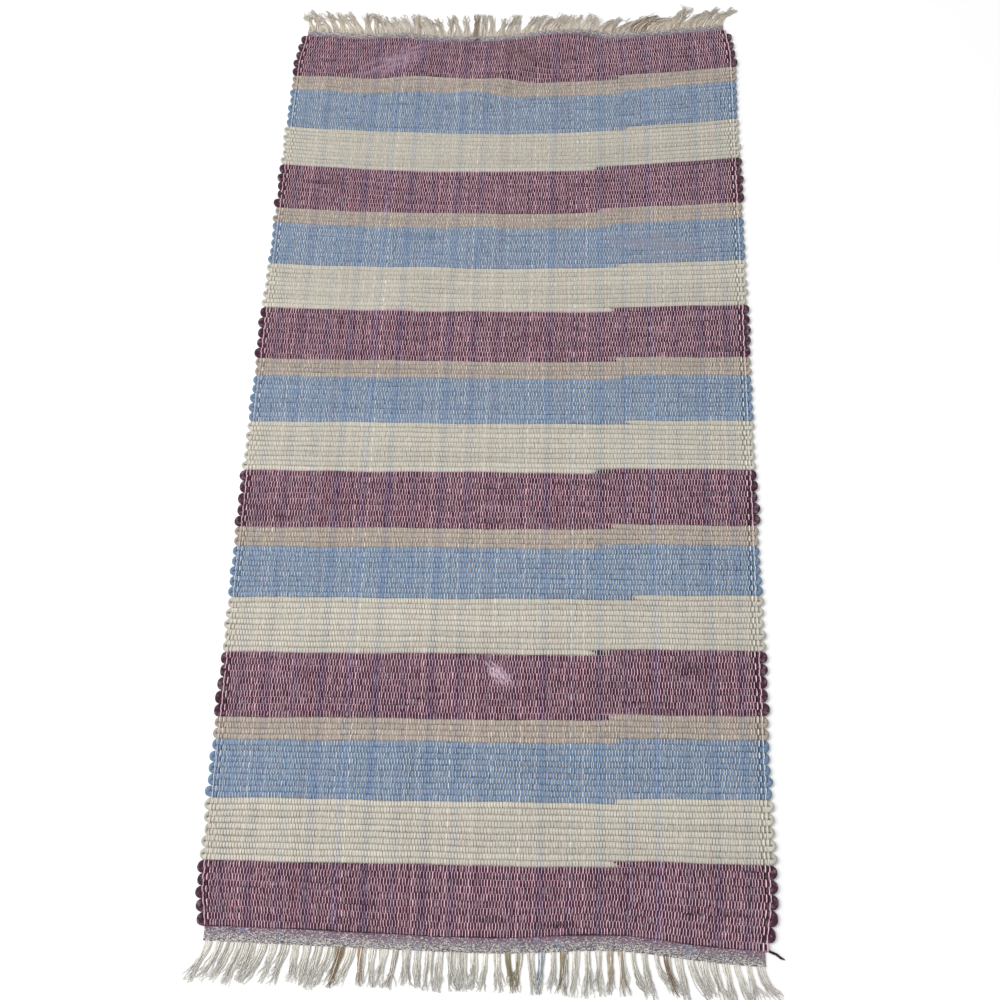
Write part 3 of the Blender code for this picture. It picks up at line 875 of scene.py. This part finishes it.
# Soft loose yarn, plied: slanting plies along each strand
def fringeMaterial():
    material, tree, shader = newMaterial("fringe_yarn", 0.9, 0.12)
    strand = addNode(tree, "ShaderNodeUVMap", uv_map="strand").outputs[0]
    own = addNode(tree, "ShaderNodeAttribute", attribute_name="yarnDye").outputs["Color"]
    tones = noise(tree, placed(tree, strand, (1.0, 0.25, 1.0)), 1.0, 3.0, 0.6)
    colour = blendColours(tree, between(tree, tones, 0.40, 0.75, 0.0, 0.45), own, dye(132, 124, 116))
    tree.links.new(colour, shader.inputs["Base Color"])
    place = addNode(tree, "ShaderNodeTexCoord").outputs["Object"]
    plies = noise(tree, placed(tree, place, (1.0, 0.5, 1.0), turn=0.6), 1800.0, 2.0)
    bump = addNode(tree, "ShaderNodeBump", {"Height": plies, "Distance": 0.0005, "Strength": 0.7})
    tree.links.new(bump.outputs[0], shader.inputs["Normal"])
    return material


tail = {
    "route": (  # x, y from the selvedge to the cut end
        (0.3560, -0.6840),
        (0.3600, -0.6855),
        (0.3645, -0.6870),
        (0.3690, -0.6905),
        (0.3740, -0.6925),
    ),
    "radius": 0.0015,
    "lowest": 0.0006,  # its middle never lies lower
    "lumps": 0.12,
    "lumpRate": 26,
    "shade": 0.6,
    "stations": 24,
    "corners": 10,
}


# A round strand along the route, of radius * (1 + lumps * sin(lumpRate * down)) * (1 - down^6 / 2), where
# down goes from 0 at the selvedge to 1 at the cut end
def makeTail(material):
    route = np.array(tail["route"])
    share = np.linspace(0, len(route) - 1, tail["stations"])
    x = np.interp(share, np.arange(len(route)), route[:, 0])
    y = np.interp(share, np.arange(len(route)), route[:, 1])
    down = share / share[-1]
    lumps = tail["lumps"] * np.sin(tail["lumpRate"] * down)
    radius = tail["radius"] * (1.0 + lumps) * (1.0 - 0.5 * down**6)
    path = np.stack([x, y, np.maximum(radius, tail["lowest"])], axis=-1)[None]
    angles = -2 * np.pi * np.arange(tail["corners"]) / tail["corners"]
    ring = np.stack([np.cos(angles), np.sin(angles)], axis=1)
    points = sweep(path, radius[None], radius[None], ring)
    weave = points[..., :2] * 500
    colours = {"ragDye": np.broadcast_to(np.array(rags["burgundy"]) * tail["shade"], points.shape)}
    blocks = sweptFaces(1, tail["stations"], tail["corners"])
    return makePiece("rag_tail", points, blocks, {"weave": weave}, colours, material)


stage = {
    "floorSide": 14.0,
    "floorDrop": 0.0002,
    "floorColour": (0.93, 0.93, 0.93),
    "sunTurn": 38.0,  # degrees from straight left towards the far end
    "sunHeight": 50.0,
    "sunStrength": 1.15,
    "sunSpread": 24.0,
    "skyStrength": 0.66,
    "lampPlace": (-1.5, -0.1, 1.3),
    "lampSide": 1.2,
    "lampPower": 21.0,
    "cameraPlace": (0.0825, -0.4651, 1.1975),
    "cameraAim": (0.0090, -0.1183, 0.0),
    "cameraRoll": -10.47,
    "lens": 31.68,
    "sensor": 36.0,
}


def makeStage():
    half = stage["floorSide"] / 2
    around = ((-half, -half), (half, -half), (half, half), (-half, half))
    corners = [(x, y, -stage["floorDrop"]) for x, y in around]
    mesh = bpy.data.meshes.new("pale_floor")
    mesh.from_pydata(corners, [], [(0, 1, 2, 3)])
    floor = bpy.data.objects.new("pale_floor", mesh)
    bpy.context.scene.collection.objects.link(floor)
    material, _, shader = newMaterial("pale_floor", 0.9, 0.0)
    shader.inputs["Base Color"].default_value = (*stage["floorColour"], 1.0)
    mesh.materials.append(material)

    sun = bpy.data.lights.new("soft_sun", "SUN")
    sun.energy = stage["sunStrength"]
    sun.angle = math.radians(stage["sunSpread"])
    lamp = bpy.data.objects.new("soft_sun", sun)
    turn, height = math.radians(stage["sunTurn"]), math.radians(stage["sunHeight"])
    level = math.cos(height)
    towards = Vector((-math.cos(turn) * level, math.sin(turn) * level, math.sin(height)))
    lamp.rotation_euler = towards.to_track_quat("Z", "Y").to_euler()
    bpy.context.scene.collection.objects.link(lamp)

    panel = bpy.data.lights.new("soft_panel", "AREA")
    panel.size = stage["lampSide"]
    panel.energy = stage["lampPower"]
    softPanel = bpy.data.objects.new("soft_panel", panel)
    softPanel.location = stage["lampPlace"]
    softPanel.rotation_euler = Vector(stage["lampPlace"]).to_track_quat("Z", "Y").to_euler()
    bpy.context.scene.collection.objects.link(softPanel)

    world = bpy.data.worlds.new("studio")
    world.use_nodes = True
    world.node_tree.nodes["Background"].inputs["Color"].default_value = (1.0, 1.0, 1.0, 1.0)
    world.node_tree.nodes["Background"].inputs["Strength"].default_value = stage["skyStrength"]
    bpy.context.scene.world = world
    bpy.context.scene.view_settings.view_transform = "Standard"
    return floor


def makeCamera():
    view = bpy.data.cameras.new("camera")
    view.lens = stage["lens"]
    view.sensor_width = stage["sensor"]
    camera = bpy.data.objects.new("camera", view)
    place = Vector(stage["cameraPlace"])
    look = (Vector(stage["cameraAim"]) - place).to_track_quat("-Z", "Y")
    camera.location = place
    camera.rotation_euler = (look @ Quaternion((0, 0, 1), math.radians(stage["cameraRoll"]))).to_euler()
    bpy.context.scene.collection.objects.link(camera)
    bpy.context.scene.camera = camera


makeCamera()
floor = makeStage()
print("stage ready")

weftPiece = makeWeft()
print("weft:", len(weftPiece.data.polygons), "faces")
warpPieces = makeWarp()
print("warp:", sum(len(piece.data.polygons) for piece in warpPieces), "faces")
headingCloth = headingMaterial()
headings = [makeHeading(direction, headingCloth) for direction in (-1, 1)]
print("headings:", sum(len(piece.data.polygons) for piece in headings), "faces")
yarn = fringeMaterial()
fringePieces = [makeFringe(direction, yarn) for direction in (-1, 1)]
print("fringes:", sum(len(piece.data.polygons) for piece in fringePieces), "faces")
tailPiece = makeTail(weftPiece.data.materials[0])
print("tail:", len(tailPiece.data.polygons), "faces")

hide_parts("rug_body")
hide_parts("heading_near")
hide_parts("heading_far")
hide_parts("fringe_near")
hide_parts("fringe_far")
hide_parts("weft_tail")
trimmings = [*warpPieces, *headings, *fringePieces, tailPiece]
for piece in [weftPiece, *trimmings]:
    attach(piece, "root")

polygons = [polygon for piece in [weftPiece, *trimmings] for polygon in piece.data.polygons]
print("triangles in all:", sum(len(polygon.vertices) - 2 for polygon in polygons))
